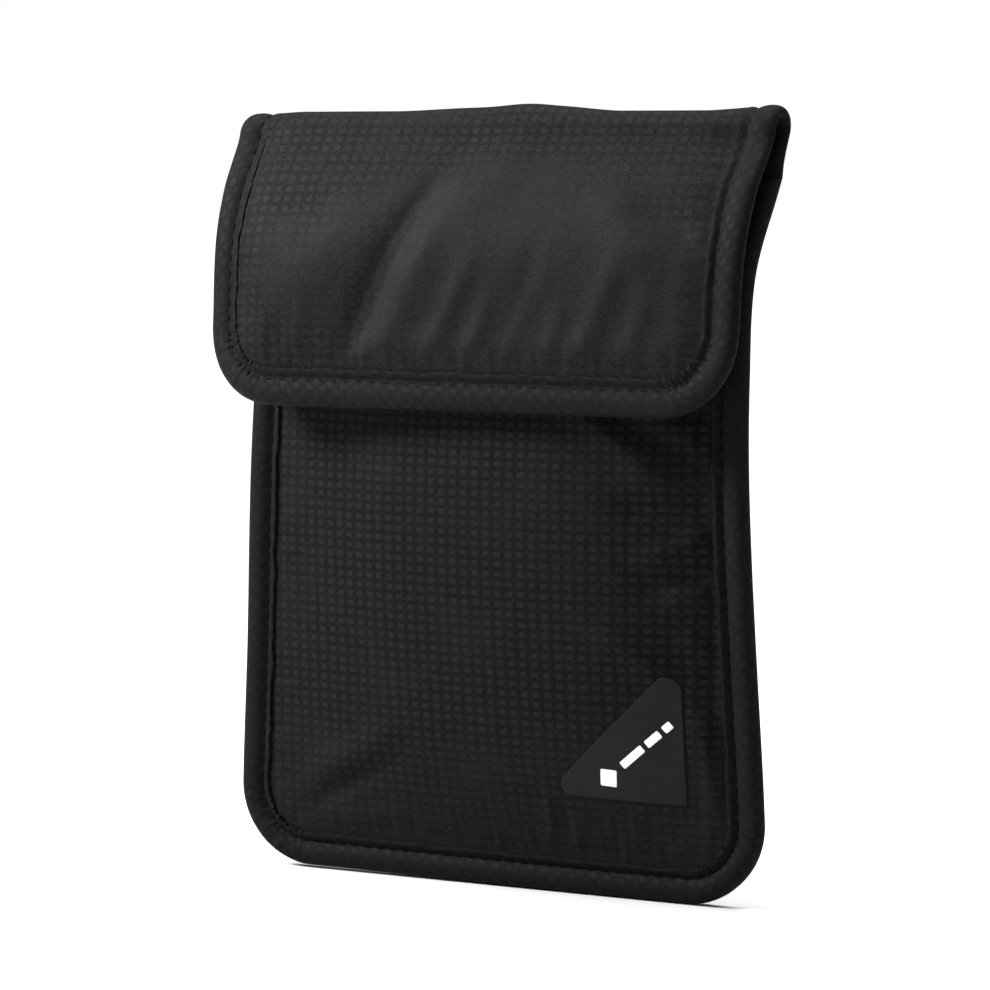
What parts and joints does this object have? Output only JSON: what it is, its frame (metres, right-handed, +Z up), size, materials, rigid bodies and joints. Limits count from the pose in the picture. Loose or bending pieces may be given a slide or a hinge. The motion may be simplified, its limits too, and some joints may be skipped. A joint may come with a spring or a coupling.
{
  "type": "neck pouch wallet",
  "caption": "Flat padded fabric neck pouch with a fold-over flap, bound edges, a zipped front pocket and strap rings on its back.",
  "frame": {"origin": "centre of the bottom of the whole pouch's box, which is where it stands on its bottom edge", "axes": "+Z up the pouch, +X to the right seen from the flap side, -Y out of the flap side"},
  "size_m": [0.148, 0.0336, 0.19],
  "materials": {
    "outer_cloth": "black dobby cloth with small woven squares",
    "back_mesh": "soft black backing cloth",
    "binding": "black ribbed binding tape",
    "lining": "grey plain-weave lining",
    "shielding": "silvery shielding cloth",
    "foam": "dark closed-cell foam",
    "webbing": "black webbing",
    "hook_and_loop": "black hook-and-loop tape",
    "zip_nylon": "black nylon zip",
    "zip_metal": "black painted die-cast metal",
    "ring_plastic": "black moulded plastic",
    "label": "smooth matte heat-pressed film"
  },
  "bodies": {
    "pouch": {"front_panel": "outer_cloth", "front_top_strip": "outer_cloth", "back_panel": "back_mesh", "front_shielding": "shielding", "divider_lining": "lining", "back_padding": "foam", "back_shielding": "shielding", "back_lining": "lining", "card_pocket": "lining", "body_binding": "binding", "mouth_binding": "binding", "flap_binding_tail_left": "binding", "flap_binding_tail_right": "binding", "zip_tape_upper": "zip_nylon", "zip_tape_lower": "zip_nylon", "label_patch": "label", "loop_patch": "hook_and_loop", "strap_tab_left": "webbing", "strap_tab_right": "webbing", "flap_fold": "outer_cloth"},
    "flap": {"flap_outer": "outer_cloth", "flap_padding": "foam", "flap_lining": "lining", "flap_binding": "binding", "hook_patch": "hook_and_loop"},
    "slider": {"zip_slider": "zip_metal"},
    "puller": {"zip_puller": "zip_metal"},
    "ring_left": {"strap_ring_left": "ring_plastic"},
    "ring_right": {"strap_ring_right": "ring_plastic"}
  },
  "joints": [
    {"name": "flap_open", "type": "hinge", "parent": "pouch", "child": "flap", "pos_m": [0, 0.00585, 0.1895], "axis": [-1, 0, 0], "range_deg": [0, 175], "deforming": ["flap_fold"]},
    {"name": "zip_slide", "type": "slide", "parent": "pouch", "child": "slider", "axis": [-1, 0, 0], "range_m": [0, 0.08]},
    {"name": "puller_swing", "type": "hinge", "parent": "slider", "child": "puller", "pos_m": [0.04, -0.00286, 0.16052], "axis": [0, 0.9654, -0.2607], "range_deg": [-85, 85]},
    {"name": "ring_left_swing", "type": "hinge", "parent": "pouch", "child": "ring_left", "pos_m": [-0.052, 0.01407, 0.17], "axis": [1, 0, 0], "range_deg": [-15, 150]},
    {"name": "ring_right_swing", "type": "hinge", "parent": "pouch", "child": "ring_right", "pos_m": [0.052, 0.01407, 0.17], "axis": [1, 0, 0], "range_deg": [-15, 150]}
  ]
}
